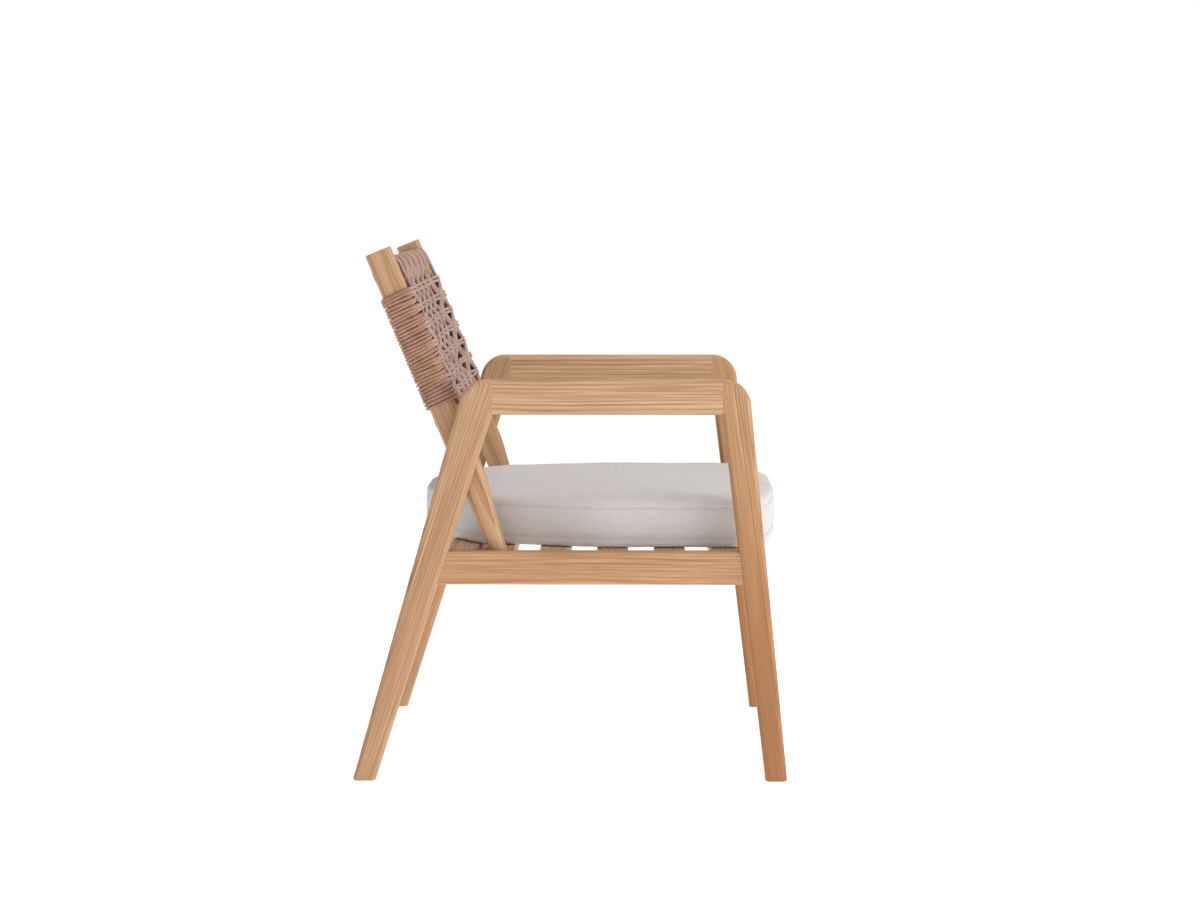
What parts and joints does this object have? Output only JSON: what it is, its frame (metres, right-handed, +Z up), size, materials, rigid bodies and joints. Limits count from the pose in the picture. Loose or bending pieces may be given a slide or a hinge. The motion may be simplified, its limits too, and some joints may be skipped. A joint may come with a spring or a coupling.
{
  "type": "lounge armchair",
  "caption": "Low ash armchair with slanted legs, flat arms, a reclined back panel woven in cord between two posts, and a loose box seat cushion.",
  "frame": {"origin": "on the floor, midway between the front and rear feet and between the two side frames", "axes": "+Z up, the front of the seat faces -Y, X runs across the chair with the sitter's left at +X"},
  "size_m": [0.66, 0.6697, 0.8215],
  "materials": {
    "ash_wood": "matt oiled ash",
    "beech_dowel": "sawn beech",
    "paper_cord": "twisted cord, satin",
    "cushion_fabric": "plain woven upholstery fabric",
    "cushion_foam": "open-cell foam",
    "steel_fixings": "zinc-plated steel"
  },
  "bodies": {
    "chair_frame": {"arm_left": "ash_wood", "arm_loose_tenons": "beech_dowel", "arm_right": "ash_wood", "back_post_left": "ash_wood", "back_post_right": "ash_wood", "bottom_bar_cord_winding": "paper_cord", "bottom_crossbar": "ash_wood", "cross_rail_dowels": "beech_dowel", "crossbar_dowels": "beech_dowel", "front_cord_weave": "paper_cord", "front_cross_rail": "ash_wood", "front_leg_left": "ash_wood", "front_leg_right": "ash_wood", "ledger_screws": "steel_fixings", "post_cord_winding_left": "paper_cord", "post_cord_winding_right": "paper_cord", "post_foot_bolts": "steel_fixings", "post_leg_bolts": "steel_fixings", "post_stretcher": "ash_wood", "rear_cord_weave": "paper_cord", "rear_cross_rail": "ash_wood", "rear_leg_left": "ash_wood", "rear_leg_right": "ash_wood", "seat_slat_1": "ash_wood", "seat_slat_2": "ash_wood", "seat_slat_3": "ash_wood", "side_rail_left": "ash_wood", "side_rail_right": "ash_wood", "slat_ledger_left": "ash_wood", "slat_ledger_right": "ash_wood", "slat_screws": "steel_fixings", "stretcher_dowels": "beech_dowel", "top_bar_cord_winding": "paper_cord", "top_crossbar": "ash_wood"},
    "seat_cushion": {"cushion_cover": "cushion_fabric", "cushion_foam": "cushion_foam"}
  },
  "joints": [
    {"name": "cushion_slide_out", "type": "slide", "parent": "chair_frame", "child": "seat_cushion", "axis": [0, -1, 0], "range_m": [0, 0.62]}
  ]
}
